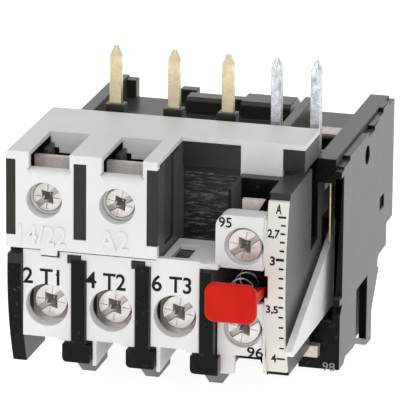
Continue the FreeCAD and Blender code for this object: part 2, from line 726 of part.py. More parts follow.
def resetSpring():
    """Open coil between the button's cap and the housing, of square wire."""
    start = -buttonProud + buttonCap + springWire / 2
    end = springSeat - springWire / 2
    coilRadius = springRadius - springWire / 2
    pitch = (end - start) / springTurns
    along = V(0, 2 * pi * coilRadius, pitch).normalize()
    across = along.cross(V(1, 0, 0))
    sides = 4
    reach = springWire / 2 * sqrt(2 * pi / (sides * sin(2 * pi / sides)))
    turns = [2 * pi * (i + 0.5) / sides for i in range(sides)]
    corners = [V(coilRadius + reach * cos(a), 0, 0) + across * (reach * sin(a)) for a in turns]
    section = Part.makePolygon(corners + corners[:1])
    coil = Part.Wire(Part.makeHelix(pitch, end - start, coilRadius)).makePipeShell([section], True, True)
    coil.rotate(V(0, 0, 0), V(1, 0, 0), -90)
    coil.translate(V(buttonX, start, buttonZ))
    return coil


# ---- trip ----

def bimetal(index):
    x = poleX(index)
    return box((x - bimetalThickness / 2, x + bimetalThickness / 2),
               (bimetalY - bimetalWidth / 2, bimetalY + bimetalWidth / 2), (bimetalTip, chamberTop))


def heater(index):
    """Heater tape wound round its bimetal, one band per turn."""
    x = poleX(index)
    inX, inY = bimetalThickness / 2, bimetalWidth / 2
    outX, outY = inX + heaterWall, inY + heaterWall
    pitch = (heaterTop - heaterBottom) / heaterTurns
    sleeve = box((x - outX, x + outX), (bimetalY - outY, bimetalY + outY), (heaterBottom, heaterTop))
    for i in range(1, heaterTurns):
        z = heaterBottom + pitch * i
        groove = box((x - outX - 1, x + outX + 1), (bimetalY - outY - 1, bimetalY + outY + 1), (z - 0.2, z + 0.2))
        core = box((x - outX + 0.2, x + outX - 0.2), (bimetalY - outY + 0.2, bimetalY + outY - 0.2), (z - 0.2, z + 0.2))
        sleeve = sleeve.cut(groove.cut(core))
    return sleeve.cut(box((x - inX, x + inX), (bimetalY - inY, bimetalY + inY), (heaterBottom - 1, heaterTop + 1)))


def sliderY():
    """Limits of the slider's spine, just in front of the bimetals."""
    rear = bimetalY - bimetalWidth / 2 - sliderGap
    return (rear - sliderSpine, rear)


def tripSlider():
    """Bar across the three poles, with a finger beside the end of each bimetal."""
    left = sideInset + trayWall + sliderGap
    right = tripX - tripThickness / 2 - sliderGap
    y = sliderY()
    z = (sliderZ - sliderHeight / 2, sliderZ + sliderHeight / 2)
    fingers = []
    for i in range(poleCount):
        start = poleX(i) + bimetalThickness / 2 + sliderGap
        fingers.append(box((start, start + sliderFinger), (y[0], fingerRear), z))
    push = box((right - sliderFinger, right), (y[0], fingerRear), z)
    return join(box((left, right), y, z), push, *fingers)


def tripLever():
    """Hub and short arm that the compensating strip hangs from."""
    y = (bimetalY - tripDepth / 2, bimetalY + tripDepth / 2)
    x = (tripX - tripThickness / 2, tripX + tripThickness / 2)
    arm = box(x, y, (tripZ - stripTop, tripZ))
    hub = rodY(tripX, tripZ, 1.7, y)
    bore = rodY(tripX, tripZ, tripPinRadius + runningClearance, (y[0] - 1, y[1] + 1))
    return join(arm, hub).cut(bore)


def compensatingStrip():
    """Bimetal that keeps the trip point steady as the room warms."""
    y = (bimetalY - tripDepth / 2 + 0.4, bimetalY + tripDepth / 2 - 0.4)
    x = (tripX - tripThickness / 2, tripX - tripThickness / 2 + stripThickness)
    return box(x, y, (tripZ - tripArm, tripZ - stripTop))


def tripPin():
    return rodY(tripX, tripZ, tripPinRadius, (chamberFront, chamberRear))


def contactY():
    front = bimetalY + tripDepth / 2 + 0.6
    return (front, front + 3.0)


def movingContact():
    """Snap blade that swings with the trip lever and carries the contact button."""
    y = contactY()
    blade = box((contactX - contactThickness / 2, contactX + contactThickness / 2), y, (contactZ - contactLength, contactZ))
    eye = box((contactX - 1.3, contactX + 1.3), y, (contactZ - 1.3, contactZ + 1.3))
    rivet = rodX((y[0] + y[1]) / 2, contactZ - contactLength + 1.2, 0.9, (contactX, contactX + rivetReach))
    bore = rodY(contactX, contactZ, contactPinRadius + runningClearance, (0, depth))
    return join(blade, eye, rivet).cut(bore)


def fixedContact():
    """Strip seated in the rear wall of the trip chamber, facing the moving contact."""
    y = contactY()
    x = contactX + rivetReach + 0.05
    z = contactZ - contactLength
    return box((x, x + 0.7), (y[0] + 0.3, chamberRear), (z, z + 2.6))


def contactStrip():
    """Tail of the second contact pair, standing against the side cover."""
    left = leverLeft + leverThickness + 0.15
    return box((left, left + 0.5), (sideFront + 0.2, sideFront + 2.8), (rightSlotTop - 9.0, rightSlotTop))


def trayStrip():
    """Metal strip that lies on the right floor of the tray."""
    return box(trayStripX, trayStripY, (trayFloor, trayFloor + trayStripThickness))


def spareClamp():
    """Clamp of the second contact pair, behind the setting panel."""
    return box((panelFace - 1.6, panelFace + 1.2), (sideLowerFront - 1.7, sideLowerFront), (-34.0, -32.2))


def contactPin():
    return rodY(contactX, contactZ, contactPinRadius, (chamberFront, chamberRear))


def place(shape):
    moved = shape.copy()
    moved.translate(V(-originX, -originY, -footBottom))
    return moved


def pieces():
    made = {"front_cover": frontCover(), "terminal_cover": terminalCover(), "side_cover": sideCover(),
            "scale_strip": scaleStrip(), "adjusting_lever": adjustingLever(), "lever_pin": leverPin(),
            "reset_button": resetButton(), "reset_spring": resetSpring(),
            "trip_slider": tripSlider(), "trip_lever": tripLever(), "trip_pin": tripPin(),
            "moving_contact": movingContact(), "contact_pin": contactPin(), "fixed_contact": fixedContact(),
            "compensating_strip": compensatingStrip(), "contact_strip_97": contactStrip(), "clamp_98": spareClamp(),
            "tray_strip": trayStrip()}
    body = housing()
    for i in range(poleCount):
        n = str(i + 1)
        made["line_pin_" + n] = pointed(linePinStock(linePinX[i]))
        made["load_bar_" + n] = loadBar(i)
        made["load_clamp_" + n] = clamp(poleX(i), loadZ, loadSeat, loadBarHalf - 0.15, loadShank, 6.4)
        made["load_screw_" + n] = screw(poleX(i), loadZ, loadSeat, loadHead, loadShank)
        made["bimetal_" + n] = bimetal(i)
        made["heater_" + n] = heater(i)
    for i, name in enumerate(("14", "a2")):
        made["control_pin_" + name] = pointed(controlPinStock(controlPinX[i]))
        made["control_bar_" + name] = controlBar(i)
        made["control_clamp_" + name] = clamp(controlX[i], controlZ, controlSeat, controlBarHalf - 0.1, controlShank, 5.0)
        made["control_screw_" + name] = screw(controlX[i], controlZ, controlSeat, controlHead, controlShank)
    for i, name in enumerate(("95", "96")):
        made["contact_bar_" + name] = auxBar(i)
        made["contact_clamp_" + name] = clamp(auxX, auxZ[i], auxSeat, auxBarHalf - 0.1, controlShank, auxClampHeight)
        made["contact_screw_" + name] = screw(auxX, auxZ[i], auxSeat, auxHead, controlShank)
    made["housing"] = body
    return made


def main():
    os.makedirs("parts", exist_ok=True)
    for name, shape in sorted(pieces().items()):
        placed = place(shape)
        placed.exportStep(os.path.join("parts", name + ".step"))
        box_ = placed.BoundBox
        print("%-18s solids %d volume %9.2f valid %s  x %.2f %.2f  y %.2f %.2f  z %.2f %.2f" % (
            name, len(placed.Solids), placed.Volume, placed.isValid(), box_.XMin, box_.XMax, box_.YMin, box_.YMax,
            box_.ZMin, box_.ZMax))


main()
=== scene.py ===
# Thermal overload relay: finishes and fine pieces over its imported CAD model.
# Lengths in the dictionaries are millimetres, x from the left face, y back from the
# face of the control terminals, z up from the top plate. Lights and camera are in metres.
import json
from math import cos, pi, radians, sin, sqrt

import bmesh
import bpy
from mathutils import Matrix, Vector


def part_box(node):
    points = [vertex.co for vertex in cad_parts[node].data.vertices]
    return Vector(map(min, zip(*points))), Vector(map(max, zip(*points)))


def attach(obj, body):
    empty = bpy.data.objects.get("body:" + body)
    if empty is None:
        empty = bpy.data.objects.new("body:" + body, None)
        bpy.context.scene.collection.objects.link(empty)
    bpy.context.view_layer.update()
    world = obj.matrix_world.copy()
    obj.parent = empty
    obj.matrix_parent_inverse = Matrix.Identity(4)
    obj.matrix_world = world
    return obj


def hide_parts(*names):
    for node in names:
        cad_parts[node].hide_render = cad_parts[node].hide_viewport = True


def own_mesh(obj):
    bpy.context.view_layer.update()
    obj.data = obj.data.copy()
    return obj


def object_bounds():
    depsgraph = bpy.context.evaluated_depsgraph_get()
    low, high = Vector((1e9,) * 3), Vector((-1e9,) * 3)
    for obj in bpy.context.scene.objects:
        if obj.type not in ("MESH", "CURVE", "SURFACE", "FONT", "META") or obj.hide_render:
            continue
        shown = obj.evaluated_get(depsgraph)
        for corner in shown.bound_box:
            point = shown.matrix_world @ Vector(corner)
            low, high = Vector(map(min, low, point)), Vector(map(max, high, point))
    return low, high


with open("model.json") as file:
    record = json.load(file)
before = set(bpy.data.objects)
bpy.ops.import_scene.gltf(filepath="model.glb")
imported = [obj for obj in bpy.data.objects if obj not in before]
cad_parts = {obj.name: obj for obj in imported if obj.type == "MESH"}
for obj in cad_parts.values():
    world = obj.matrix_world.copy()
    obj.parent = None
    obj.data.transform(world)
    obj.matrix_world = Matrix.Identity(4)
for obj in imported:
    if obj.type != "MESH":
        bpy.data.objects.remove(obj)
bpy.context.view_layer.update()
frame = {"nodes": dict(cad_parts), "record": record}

millimetre = 0.001
coverLow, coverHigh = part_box("front_cover")
origin = Vector((coverLow.x, coverLow.y, coverHigh.z))
record = frame["record"]
bodyOf = {node: body for body, nodes in record["behaviour"]["bodies"].items() for node in nodes}
slotOf = {part["node"]: part["material_slot"] for part in record["subparts"]}
print("frame loaded:", len(slotOf), "nodes")


def at(x, y, z):
    return origin + Vector((x, y, z)) * millimetre


def limits(node):
    # a node's limits in the same millimetres: (x0, x1), (y0, y1), (z0, z1)
    low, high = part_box(node)
    low, high = (low - origin) / millimetre, (high - origin) / millimetre
    return tuple((low[i], high[i]) for i in range(3))


def roundNode(node):
    # x and z of its axis, its radius and its y limits, for a node that is round about y
    (x0, x1), deep, (z0, z1) = limits(node)
    return (x0 + x1) / 2, (z0 + z1) / 2, (x1 - x0) / 2, deep


def turnAbout(x, z, degrees):
    # a turn about the line through (x, z) that runs along y
    there, back = Matrix.Translation(at(x, 0, z)), Matrix.Translation(-at(x, 0, z))
    return there @ Matrix.Rotation(radians(degrees), 4, "Y") @ back


class Wire:
    # one output socket that can be reckoned with
    def __init__(self, finish, socket):
        self.finish = finish
        self.socket = socket

    def reckon(self, operation, first, second):
        return self.finish.add("ShaderNodeMath", {"operation": operation}, {0: first, 1: second})

    def __add__(self, other):
        return self.reckon("ADD", self, other)

    def __sub__(self, other):
        return self.reckon("SUBTRACT", self, other)

    def __rsub__(self, other):
        return self.reckon("SUBTRACT", other, self)

    def __mul__(self, other):
        return self.reckon("MULTIPLY", self, other)

    def __gt__(self, other):
        return self.reckon("GREATER_THAN", self, other)

    __radd__ = __add__
    __rmul__ = __mul__


class Finish:
    # a material whose nodes are added one call at a time
    def __init__(self, name):
        self.material = bpy.data.materials.new(name)
        self.material.use_nodes = True
        self.tree = self.material.node_tree
        self.shader = self.tree.nodes["Principled BSDF"]

    def add(self, kind, settings=None, inputs=None, output=0):
        node = self.tree.nodes.new(kind)
        for key, value in (settings or {}).items():
            if key == "stops":
                self.fillRamp(node.color_ramp, value)
            else:
                setattr(node, key, value)
        for key, value in (inputs or {}).items():
            self.feed(node.inputs[key], value)
        return Wire(self, node.outputs[output])

    def fillRamp(self, ramp, stops):
        while len(ramp.elements) < len(stops):
            ramp.elements.new(0.5)
        for element, (place, colour) in zip(ramp.elements, stops):
            element.position = place
            element.color = (*colour, 1.0)

    def feed(self, socket, value):
        if isinstance(value, Wire):
            self.tree.links.new(value.socket, socket)
        elif isinstance(value, tuple) and len(value) == 3 and socket.type == "RGBA":
            socket.default_value = (*value, 1.0)
        else:
            socket.default_value = value

    def noise(self, size, detail=3.0, roughness=0.5, stretch=(1.0, 1.0, 1.0)):
        # size is that of one blotch, in millimetres
        spot = self.add("ShaderNodeTexCoord", output="Object")
        spot = self.add("ShaderNodeMapping", {}, {"Vector": spot, "Scale": stretch})
        return self.add("ShaderNodeTexNoise", {}, {"Vector": spot, "Scale": 1 / (size * millimetre),
                                                   "Detail": detail, "Roughness": roughness})

    def ramp(self, value, stops):
        return self.add("ShaderNodeValToRGB", {"stops": stops}, {"Fac": value})

    def mask(self, value, start, full):
        # 0 up to start, 1 from full on
        return self.ramp(value, ((start, (0, 0, 0)), (full, (1, 1, 1))))

    def blend(self, share, first, second):
        return self.add("ShaderNodeMix", {"data_type": "RGBA"}, {0: share, 6: first, 7: second}, output=2)

    def bump(self, height):
        # height in millimetres
        return self.add("ShaderNodeBump", {}, {"Height": height, "Strength": 1.0, "Distance": millimetre})

    def edge(self, width):
        # 1 on edges and corners, 0 on flats
        rounded = self.add("ShaderNodeBevel", {"samples": 4}, {"Radius": width * millimetre})
        flat = self.add("ShaderNodeNewGeometry", output="Normal")
        same = self.add("ShaderNodeVectorMath", {"operation": "DOT_PRODUCT"}, {0: rounded, 1: flat},
                        output="Value")
        return self.mask(1.0 - same, 0.02, 0.2)

    def depth(self):
        # 0 on the top of a screw's head, 1 in its recesses: the mask for painted shade there
        below = self.add("ShaderNodeAttribute", {"attribute_name": "below"}, output="Fac")
        return self.mask(below, 0.12, 0.5)

    def zone(self, x, y, z):
        # 1 inside three pairs of limits, 0 outside
        spot = self.add("ShaderNodeTexCoord", output="Object")
        inside = 1.0
        for axis, (low, high) in enumerate((x, y, z)):
            value = self.add("ShaderNodeSeparateXYZ", {}, {0: spot}, output=axis)
            start, end = (origin[axis] + limit * millimetre for limit in (low, high))
            inside = (value > start) * (1 - (value > end)) * inside
        return inside

    def set(self, **values):
        for key, value in values.items():
            self.feed(self.shader.inputs[key.replace("_", " ")], value)
        return self.material


# shared by all mouldings and by all metals; a mask says where a blotch starts and where it is full
moulded = {"flowMask": (0.3, 0.7), "speckSize": 0.9, "speckMask": (0.62, 0.78), "edgeWidth": 0.16,
           "waveSize": 3.5, "refraction": 1.5, "sheenRoughness": 0.35, "scuffSize": 0.45,
           "scuffStretch": (0.22, 1.0, 1.6), "scuffMask": (0.5, 0.72), "scuffShare": 0.9,
           "scuffColour": (0.30, 0.30, 0.28)}
plated = {"tarnishMask": (0.35, 0.7), "streakLight": 0.25, "streakRough": 0.12}


def plastic(name, look):
    # moulded plastic: grain of the tool, faint flow marks, and edges painted lighter as a painted highlight
    # and as rubbed wear
    finish = Finish(name)
    flow = finish.noise(look["flowSize"], detail=4.0, roughness=0.55)
    flow = finish.ramp(flow, tuple(zip(moulded["flowMask"], (look["dark"], look["light"]))))
    specks = finish.noise(moulded["speckSize"], detail=5.0, roughness=0.7)
    specks = finish.mask(specks, *moulded["speckMask"])
    colour = finish.blend(specks * look["speckShare"], flow, look["speckColour"])
    # painted highlight, with rubbed wear: edges and corners lighter
    colour = finish.blend(finish.edge(moulded["edgeWidth"]) * look["edgeHighlightShare"], colour, look["edgeHighlightColour"])
    if "scuffed" in look:
        # a wall that the tool left rough
        scuffs = finish.noise(moulded["scuffSize"], 5.0, 0.75, moulded["scuffStretch"])
        scuffs = finish.zone(*look["scuffed"]) * finish.mask(scuffs, *moulded["scuffMask"])
        colour = finish.blend(scuffs * moulded["scuffShare"], colour, moulded["scuffColour"])
    grain = finish.noise(look["grainSize"], detail=2.0, roughness=0.6)
    waves = finish.noise(moulded["waveSize"], detail=1.0, roughness=0.4)
    return finish.set(Base_Color=colour, Roughness=look["rough"] + (grain - 0.5) * look["roughSpread"],
                      Normal=finish.bump(grain * look["grainDepth"] + waves * look["waveDepth"]),
                      IOR=moulded["refraction"], Specular_IOR_Level=look.get("specular", 0.5),
                      Sheen_Weight=look.get("sheen", 0.0), Sheen_Roughness=moulded["sheenRoughness"])


def metal(name, look):
    # plated or bare metal: streaks along one way, tarnish in blotches, and on screws painted shade in the
    # recesses
    finish = Finish(name)
    streak = finish.noise(look["streakSize"], roughness=0.6, stretch=look["streakWay"])
    tarnish = finish.noise(look["blotchSize"], detail=4.0, roughness=0.6)
    tarnish = finish.mask(tarnish, *plated["tarnishMask"])
    colour = finish.blend(tarnish * look["tarnishShare"], look["colour"], look["tarnish"])
    colour = finish.blend(streak * plated["streakLight"], colour, look["light"])
    # painted shade: darker with depth in the slot, the star and down the side of the head
    if "recessShadeShare" in look:
        colour = finish.blend(finish.depth() * look["recessShadeShare"], colour, look["recessShadeColour"])
    rough = look["rough"] + tarnish * look["tarnishRough"] + (streak - 0.5) * plated["streakRough"]
    return finish.set(Base_Color=colour, Metallic=look.get("metallic", 1.0), Roughness=rough,
                      Normal=finish.bump(streak * look["streakDepth"] + tarnish * look["pitDepth"]))


plasticLooks = {
    "black_moulding": {
        "dark": (0.014, 0.013, 0.0085), "light": (0.022, 0.0205, 0.0145), "flowSize": 9.0,
        "speckShare": 0.20, "speckColour": (0.06, 0.057, 0.052), "edgeHighlightShare": 0.30,
        "edgeHighlightColour": (0.10, 0.095, 0.09), "grainSize": 0.22, "grainDepth": 0.010, "waveDepth": 0.02,
        "rough": 0.36, "roughSpread": 0.18, "specular": 0.30, "sheen": 0.24,
        "scuffed": ((22.75, 31.6), (11.5, 24.0), (-19.0, -5.6))},
    # a darker, glossier black for the lower ribs, and painted shade on front-facing faces and in the strips
    # under the front cover
    "rib_and_shade_black": {
        "dark": (0.004, 0.004, 0.0035), "light": (0.007, 0.007, 0.006), "flowSize": 6.0,
        "speckShare": 0.8, "speckColour": (0.12, 0.115, 0.07), "edgeHighlightShare": 0.6,
        "edgeHighlightColour": (0.10, 0.10, 0.08), "grainSize": 0.5, "grainDepth": 0.05, "waveDepth": 0.02,
        "rough": 0.24, "roughSpread": 0.2, "specular": 0.10, "sheen": 0.05},
    "light_moulding": {
        "dark": (0.72, 0.71, 0.695), "light": (0.78, 0.77, 0.755), "flowSize": 14.0, "speckShare": 0.10,
        "speckColour": (0.50, 0.49, 0.47), "edgeHighlightShare": 0.25, "edgeHighlightColour": (0.78, 0.78, 0.77),
        "grainSize": 0.25, "grainDepth": 0.008, "waveDepth": 0.012, "rough": 0.50, "roughSpread": 0.12,
        "specular": 0.4},
    "scale_cream": {
        "dark": (0.68, 0.66, 0.62), "light": (0.74, 0.72, 0.67), "flowSize": 8.0, "speckShare": 0.08,
        "speckColour": (0.6, 0.56, 0.45), "edgeHighlightShare": 0.2, "edgeHighlightColour": (0.93, 0.93, 0.88),
        "grainSize": 0.3, "grainDepth": 0.004, "waveDepth": 0.01, "rough": 0.42, "roughSpread": 0.08},
    "lever_white": {
        "dark": (0.74, 0.745, 0.73), "light": (0.82, 0.82, 0.805), "flowSize": 7.0, "speckShare": 0.08,
        "speckColour": (0.6, 0.6, 0.58), "edgeHighlightShare": 0.3, "edgeHighlightColour": (0.95, 0.95, 0.94),
        "grainSize": 0.3, "grainDepth": 0.004, "waveDepth": 0.01, "rough": 0.36, "roughSpread": 0.1},
    "button_red": {
        "dark": (0.52, 0.007, 0.0015), "light": (0.60, 0.011, 0.003), "flowSize": 3.0,
        "speckShare": 0.15, "speckColour": (0.62, 0.05, 0.03), "edgeHighlightShare": 0.25,
        "edgeHighlightColour": (0.70, 0.09, 0.05), "grainSize": 0.2, "grainDepth": 0.006, "waveDepth": 0.02,
        "rough": 0.42, "roughSpread": 0.14, "specular": 0.12},
    "trip_plastic": {
        "dark": (0.50, 0.45, 0.35), "light": (0.58, 0.53, 0.43), "flowSize": 6.0, "speckShare": 0.1,
        "speckColour": (0.4, 0.35, 0.26), "edgeHighlightShare": 0.2, "edgeHighlightColour": (0.7, 0.66, 0.56),
        "grainSize": 0.25, "grainDepth": 0.006, "waveDepth": 0.01, "rough": 0.5, "roughSpread": 0.1},
}
metalLooks = {
    "pin_brass": {
        "colour": (0.86, 0.74, 0.50), "light": (0.98, 0.92, 0.76), "tarnish": (0.50, 0.38, 0.20),
        "streakSize": 0.35, "streakWay": (1.0, 1.0, 0.12), "streakDepth": 0.012, "blotchSize": 1.6,
        "tarnishShare": 0.55, "tarnishRough": 0.14, "pitDepth": 0.01, "rough": 0.24},
    "pin_tinned": {
        "colour": (0.72, 0.74, 0.77), "light": (0.93, 0.94, 0.96), "tarnish": (0.24, 0.26, 0.29),
        "streakSize": 0.5, "streakWay": (1.0, 1.0, 0.35), "streakDepth": 0.012, "blotchSize": 0.8,
        "tarnishShare": 0.85, "tarnishRough": 0.16, "pitDepth": 0.02, "rough": 0.22},
    "screw_nickel": {
        "colour": (0.70, 0.665, 0.635), "light": (0.92, 0.90, 0.88), "tarnish": (0.42, 0.38, 0.35),
        "streakSize": 0.3, "streakWay": (1.0, 1.0, 1.0), "streakDepth": 0.008, "blotchSize": 1.2,
        # the last two: painted shade in the head's recesses
        "tarnishShare": 0.5, "tarnishRough": 0.12, "pitDepth": 0.015, "rough": 0.32, "recessShadeShare": 0.6,
        "recessShadeColour": (0.24, 0.22, 0.205)},
    "clamp_zinc": {
        "colour": (0.66, 0.60, 0.56), "light": (0.88, 0.84, 0.80), "tarnish": (0.34, 0.29, 0.26),
        "streakSize": 0.3, "streakWay": (0.3, 1.0, 1.0), "streakDepth": 0.02, "blotchSize": 0.9,
        "tarnishShare": 0.6, "tarnishRough": 0.15, "pitDepth": 0.02, "rough": 0.36, "metallic": 0.6},
    "bar_copper": {
        "colour": (0.82, 0.75, 0.71), "light": (0.97, 0.94, 0.91), "tarnish": (0.50, 0.43, 0.38),
        "streakSize": 0.22, "streakWay": (1.0, 1.0, 0.8), "streakDepth": 0.01, "blotchSize": 1.5,
        "tarnishShare": 0.5, "tarnishRough": 0.12, "pitDepth": 0.03, "rough": 0.46, "metallic": 0.35},
    "bimetal_steel": {
        "colour": (0.52, 0.51, 0.49), "light": (0.78, 0.77, 0.75), "tarnish": (0.32, 0.29, 0.26),
        "streakSize": 0.3, "streakWay": (1.0, 1.0, 0.1), "streakDepth": 0.008, "blotchSize": 2.0,
        "tarnishShare": 0.5, "tarnishRough": 0.1, "pitDepth": 0.006, "rough": 0.34},
    "heater_tape": {
        "colour": (0.38, 0.35, 0.32), "light": (0.6, 0.57, 0.54), "tarnish": (0.2, 0.16, 0.14),
        "streakSize": 0.25, "streakWay": (0.2, 0.2, 1.0), "streakDepth": 0.01, "blotchSize": 1.0,
        "tarnishShare": 0.6, "tarnishRough": 0.14, "pitDepth": 0.008, "rough": 0.38},
    "spring_wire": {
        "colour": (0.22, 0.22, 0.225), "light": (0.42, 0.42, 0.43), "tarnish": (0.12, 0.115, 0.11),
        "streakSize": 0.2, "streakWay": (1.0, 1.0, 1.0), "streakDepth": 0.004, "blotchSize": 0.8,
        "tarnishShare": 0.4, "tarnishRough": 0.1, "pitDepth": 0.004, "rough": 0.25},
    "pin_steel": {
        "colour": (0.56, 0.56, 0.57), "light": (0.85, 0.85, 0.86), "tarnish": (0.34, 0.33, 0.32),
        "streakSize": 0.2, "streakWay": (1.0, 0.1, 1.0), "streakDepth": 0.004, "blotchSize": 0.8,
        "tarnishShare": 0.3, "tarnishRough": 0.08, "pitDepth": 0.003, "rough": 0.25},
}
inkColours = {"blackInk": (0.006, 0.006, 0.006), "whiteInk": (0.28, 0.28, 0.28)}
inkLook = {"thinSize": 0.35, "thinMask": (0.25, 0.5), "grainSize": 0.3, "rough": 0.5, "roughSpread": 0.1,
           "specular": 0.2}


def ink(name, colour):
    # printed ink, paler where it is thin
    finish = Finish(name)
    paler = tuple(part * 1.5 + 0.02 for part in colour)
    full = finish.noise(inkLook["thinSize"], detail=4.0, roughness=0.7)
    full = finish.ramp(full, tuple(zip(inkLook["thinMask"], ((0.6, 0.6, 0.6), (1, 1, 1)))))
    rough = inkLook["rough"] + finish.noise(inkLook["grainSize"]) * inkLook["roughSpread"]
    return finish.set(Base_Color=finish.blend(full, paler, colour), Roughness=rough,
                      Specular_IOR_Level=inkLook["specular"])


finishes = {name: plastic(name, look) for name, look in plasticLooks.items()}
finishes.update({name: metal(name, look) for name, look in metalLooks.items()})
finishes.update({name: ink(name, colour) for name, colour in inkColours.items()})
for node, slot in slotOf.items():
    shown = frame["nodes"][node].data.materials
    shown.clear()
    shown.append(finishes[slot])
print("finishes made:", len(finishes))

edgeAngle = 32.0   # degrees, past which an edge counts as sharp


def smoothMesh(mesh, angle=edgeAngle):
    for face in mesh.polygons:
        face.use_smooth = True
    mesh.set_sharp_from_angle(angle=radians(angle))


def roundEdges(piece, width, segments, angle):
    edge = piece.modifiers.new("edges", "BEVEL")
    edge.width = width * millimetre
    edge.segments = segments
    edge.limit_method = "ANGLE"
    edge.angle_limit = radians(angle)
    return edge


def loose(name, shape):
    mesh = bpy.data.meshes.new(name)
    shape.to_mesh(mesh)
    shape.free()
    piece = bpy.data.objects.new(name, mesh)
    bpy.context.scene.collection.objects.link(piece)
    return piece


def addPiece(name, shape, finish, body, stands=(), bevel=0.0):
    piece = loose(name, shape)
    smoothMesh(piece.data)
    piece.data.materials.append(finishes[finish])
    if bevel:
        roundEdges(piece, bevel, 2, edgeAngle).use_clamp_overlap = False
        even = piece.modifiers.new("even", "WEIGHTED_NORMAL")
        even.keep_sharp = True
        even.weight = 100
    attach(piece, body)
    if stands:
        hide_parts(*stands)
    return piece


def block(shape, x, y, z):
    # a block between three pairs of limits
    middle = at(*[(low + high) / 2 for low, high in (x, y, z)])
    size = Matrix.Diagonal((*[abs(high - low) * millimetre for low, high in (x, y, z)], 1.0))
    return bmesh.ops.create_cube(shape, size=1.0, matrix=Matrix.Translation(middle) @ size)["verts"]


def roundOff(shape, edges, width, segments):
    bmesh.ops.bevel(shape, geom=edges, offset=width * millimetre, segments=segments, profile=0.5,
                    material=-1, affect="EDGES")


sewing = {"weld": 0.002, "flatWithin": 0.6}   # millimetres and degrees


def softCopy(node, bevel):
    # takes a node's place: its loose triangles sewn into flat faces, with rounded edges
    shape = bmesh.new()
    shape.from_mesh(frame["nodes"][node].data)
    bmesh.ops.remove_doubles(shape, verts=shape.verts, dist=sewing["weld"] * millimetre)
    bmesh.ops.dissolve_limit(shape, angle_limit=radians(sewing["flatWithin"]), verts=shape.verts,
                             edges=shape.edges)
    return addPiece(node + "_eased", shape, slotOf[node], bodyOf[node], stands=(node,), bevel=bevel)


eased = {"housing": 0.12, "front_cover": 0.08, "terminal_cover": 0.10, "side_cover": 0.14,
         "scale_strip": 0.08, "adjusting_lever": 0.12, "reset_button": 0.10, "contact_strip_97": 0.06,
         "clamp_98": 0.08, "tray_strip": 0.08}
pinEdge, clampEdge = 0.08, 0.07   # rounding, as in eased
softened = {node: softCopy(node, width) for node, width in eased.items()}
for node in slotOf:
    if node.startswith(("line_pin", "control_pin")):
        softCopy(node, pinEdge)
    if "_clamp_" in node:
        softCopy(node, clampEdge)

# limits between which the black mouldings take a darker, glossier black: darker on the ribs, and painted
# shade on the front-facing faces of the bay and the rail
darkFaces = {"facing": -0.6, "ribFront": 3.2, "ribTop": -16.65, "ribRight": 31.5,
             "bayLeft": 31.0, "bayFront": 2.5, "bayTop": -7.2, "railLeft": 41.0, "railBack": 30.0}


def darkHousing(face):
    # the fronts of the barriers, darker; the back of the contact bay and the front of the rail, where
    # front-facing faces get painted shade
    spot = (face.center - origin) / millimetre
    dark = darkFaces
    rib = spot.x < dark["ribRight"] and spot.y < dark["ribFront"] and spot.z < dark["ribTop"]
    bay = spot.x > dark["bayLeft"] and spot.y > dark["bayFront"] and spot.z < dark["bayTop"]
    rail = spot.x > dark["railLeft"] and spot.y < dark["railBack"]
    return rib or facesFront(face) and (bay or rail)


def facesFront(face):
    return face.normal.y < darkFaces["facing"]


# front-facing faces of the side cover, the bay and the rail take the darker black as painted shade; the ribs
# take it all over
for node, isDark in (("housing", darkHousing), ("side_cover", facesFront)):
    softened[node].data.materials.append(finishes["rib_and_shade_black"])
    for face in softened[node].data.polygons:
        face.material_index = int(isDark(face))

stripThickness = 0.55   # share of the solid's thickness
strip = softened["contact_strip_97"].data
middle = sum(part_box("contact_strip_97"), Vector()) / 2
for vert in strip.vertices:
    vert.co.x = middle.x + (vert.co.x - middle.x) * stripThickness

# the cap ends a little lower than its solid, and its guides lower still
buttonDrop = {"cap": 0.5, "guides": 2.1, "capDepth": 1.2}
_, (buttonFront, _), (low, high) = limits("reset_button")
for vert in softened["reset_button"].data.vertices:
    spot = (vert.co - origin) / millimetre
    if spot.z > (low + high) / 2:
        part = "guides" if spot.y > buttonFront + buttonDrop["capDepth"] else "cap"
        vert.co.z -= buttonDrop[part] * millimetre

fillerEdge = 0.05
fillers = {"rib_cap_1": ("light_moulding", (11.1, 11.92), (0.97, 1.6), (-16.05, -15.35)),
           "rib_cap_2": ("light_moulding", (20.7, 21.52), (0.97, 1.6), (-16.05, -15.35)),
           "scale_seam_upper": ("light_moulding", (37.74, 37.98), (3.1, 3.9), (-15.4, -8.2)),
           "scale_seam_lower": ("light_moulding", (37.74, 37.98), (3.1, 3.9), (-30.4, -21.2)),
           "side_wall": ("black_moulding", (43.3, 43.6), (31.0, 45.0), (-36.9, -27.6)),
           "scale_foot": ("scale_cream", (37.5, 38.0), (4.35, 5.0), (-31.9, -29.4)),
           # the four thin black strips under the front cover's lower edge: a painted shadow line along the
           # seam
           "cover_shadow_left": ("rib_and_shade_black", (2.1, 5.1), (0.93, 0.985), (-14.99, -14.62)),
           "cover_shadow_tab": ("rib_and_shade_black", (5.12, 7.86), (0.93, 0.985), (-15.9, -15.3)),
           "cover_shadow_edge": ("rib_and_shade_black", (7.74, 7.86), (0.5, 0.985), (-15.9, -14.62)),
           "cover_shadow_right": ("rib_and_shade_black", (7.86, 22.3), (0.93, 0.985), (-14.99, -14.62))}
for name, (finish, x, y, z) in fillers.items():
    shape = bmesh.new()
    block(shape, x, y, z)
    roundOff(shape, list(shape.edges), fillerEdge, 2)
    addPiece(name, shape, finish, "relay")

